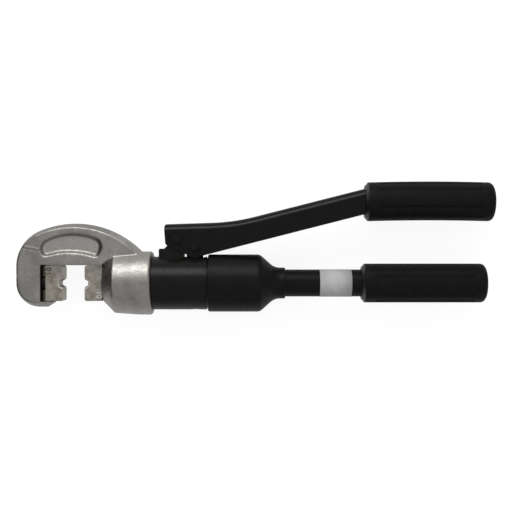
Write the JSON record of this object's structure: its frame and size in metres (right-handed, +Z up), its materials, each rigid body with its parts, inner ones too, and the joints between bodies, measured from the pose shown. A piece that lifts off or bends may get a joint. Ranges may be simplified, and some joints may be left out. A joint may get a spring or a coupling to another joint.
{
  "type": "hydraulic crimping tool",
  "caption": "Hand-pumped hydraulic crimping tool: a C-shaped head with hexagon dies, a pump body, a pumping lever, and an oil handle, both with ribbed grips.",
  "frame": {"origin": "on the table under the middle of the outer box, with the tool lying on its side", "axes": "+X from the head to the handles, +Y from the fixed handle to the lever, +Z up from the table"},
  "size_m": [0.3332, 0.0932, 0.0442],
  "materials": {
    "forged_steel": "bead-blasted light grey forging",
    "die_steel": "ground and hardened",
    "black_steel": "black oxide, satin",
    "bright_steel": "ground",
    "spring_steel": "drawn wire",
    "pin_steel": "dark oiled steel",
    "clip_steel": "black phosphated",
    "ball_steel": "polished",
    "bronze": "machined",
    "black_paint": "satin black paint",
    "black_cover": "fine matte black",
    "grip_rubber": "black moulded rubber",
    "seal_rubber": "black rubber",
    "white_plastic": "white fluoropolymer"
  },
  "bodies": {
    "tool": {"c_head": "forged_steel", "head_lock_screw": "black_steel", "fixed_die": "die_steel", "fixed_die_screw": "black_steel", "ram_bush": "bronze", "return_spring": "spring_steel", "pump_body": "black_steel", "lever_pivot_pin": "pin_steel", "pivot_pin_clips": "clip_steel", "plunger_gland": "pin_steel", "plunger_seal": "seal_rubber", "intake_seat": "bronze", "intake_spring": "spring_steel", "outlet_spring": "spring_steel", "outlet_plug": "black_steel", "relief_spring": "spring_steel", "relief_screw": "bronze", "oil_bladder": "seal_rubber", "bladder_ring": "bright_steel", "reservoir_cover": "black_cover", "handle_tube": "black_paint", "tube_plug": "black_steel", "fixed_grip": "grip_rubber"},
    "ram_unit": {"ram": "bright_steel", "ram_seal": "seal_rubber", "ram_backup_ring": "white_plastic", "moving_die": "die_steel", "moving_die_screw": "black_steel"},
    "lever": {"lever_arm": "black_paint", "lever_grip": "grip_rubber", "plunger_pin": "pin_steel", "plunger_pin_clips": "clip_steel"},
    "pump_plunger": {"plunger": "pin_steel"},
    "intake_valve": {"intake_ball": "ball_steel"},
    "outlet_valve": {"outlet_ball": "ball_steel"},
    "relief_valve": {"relief_poppet": "bright_steel"}
  },
  "joints": [
    {"name": "lever_pivot", "type": "hinge", "parent": "tool", "child": "lever", "pos_m": [-0.05393, 0.00594, 0.0221], "axis": [0, 0, 1], "range_deg": [0, 40]},
    {"name": "plunger_slide", "type": "slide", "parent": "tool", "child": "pump_plunger", "axis": [0, 1, 0], "range_m": [0, 0.0095]},
    {"name": "ram_slide", "type": "slide", "parent": "tool", "child": "ram_unit", "axis": [-1, 0, 0], "range_m": [0, 0.0148], "stiffness_N_per_m": 400, "springref_m": -0.01, "deforming": ["return_spring"]},
    {"name": "intake_lift", "type": "slide", "parent": "tool", "child": "intake_valve", "axis": [-1, 0, 0], "range_m": [0, 0.0008], "stiffness_N_per_m": 20, "springref_m": -0.001, "deforming": ["intake_spring"]},
    {"name": "outlet_lift", "type": "slide", "parent": "tool", "child": "outlet_valve", "axis": [0, -1, 0], "range_m": [0, 0.0008], "stiffness_N_per_m": 20, "springref_m": -0.001, "deforming": ["outlet_spring"]},
    {"name": "relief_lift", "type": "slide", "parent": "tool", "child": "relief_valve", "axis": [1, 0, 0], "range_m": [0, 0.0008], "stiffness_N_per_m": 20, "springref_m": -0.001, "deforming": ["relief_spring"]}
  ],
  "couplings": [
    {"joint": "plunger_slide", "follows": "lever_pivot", "m_per_rad": 0.013286}
  ]
}
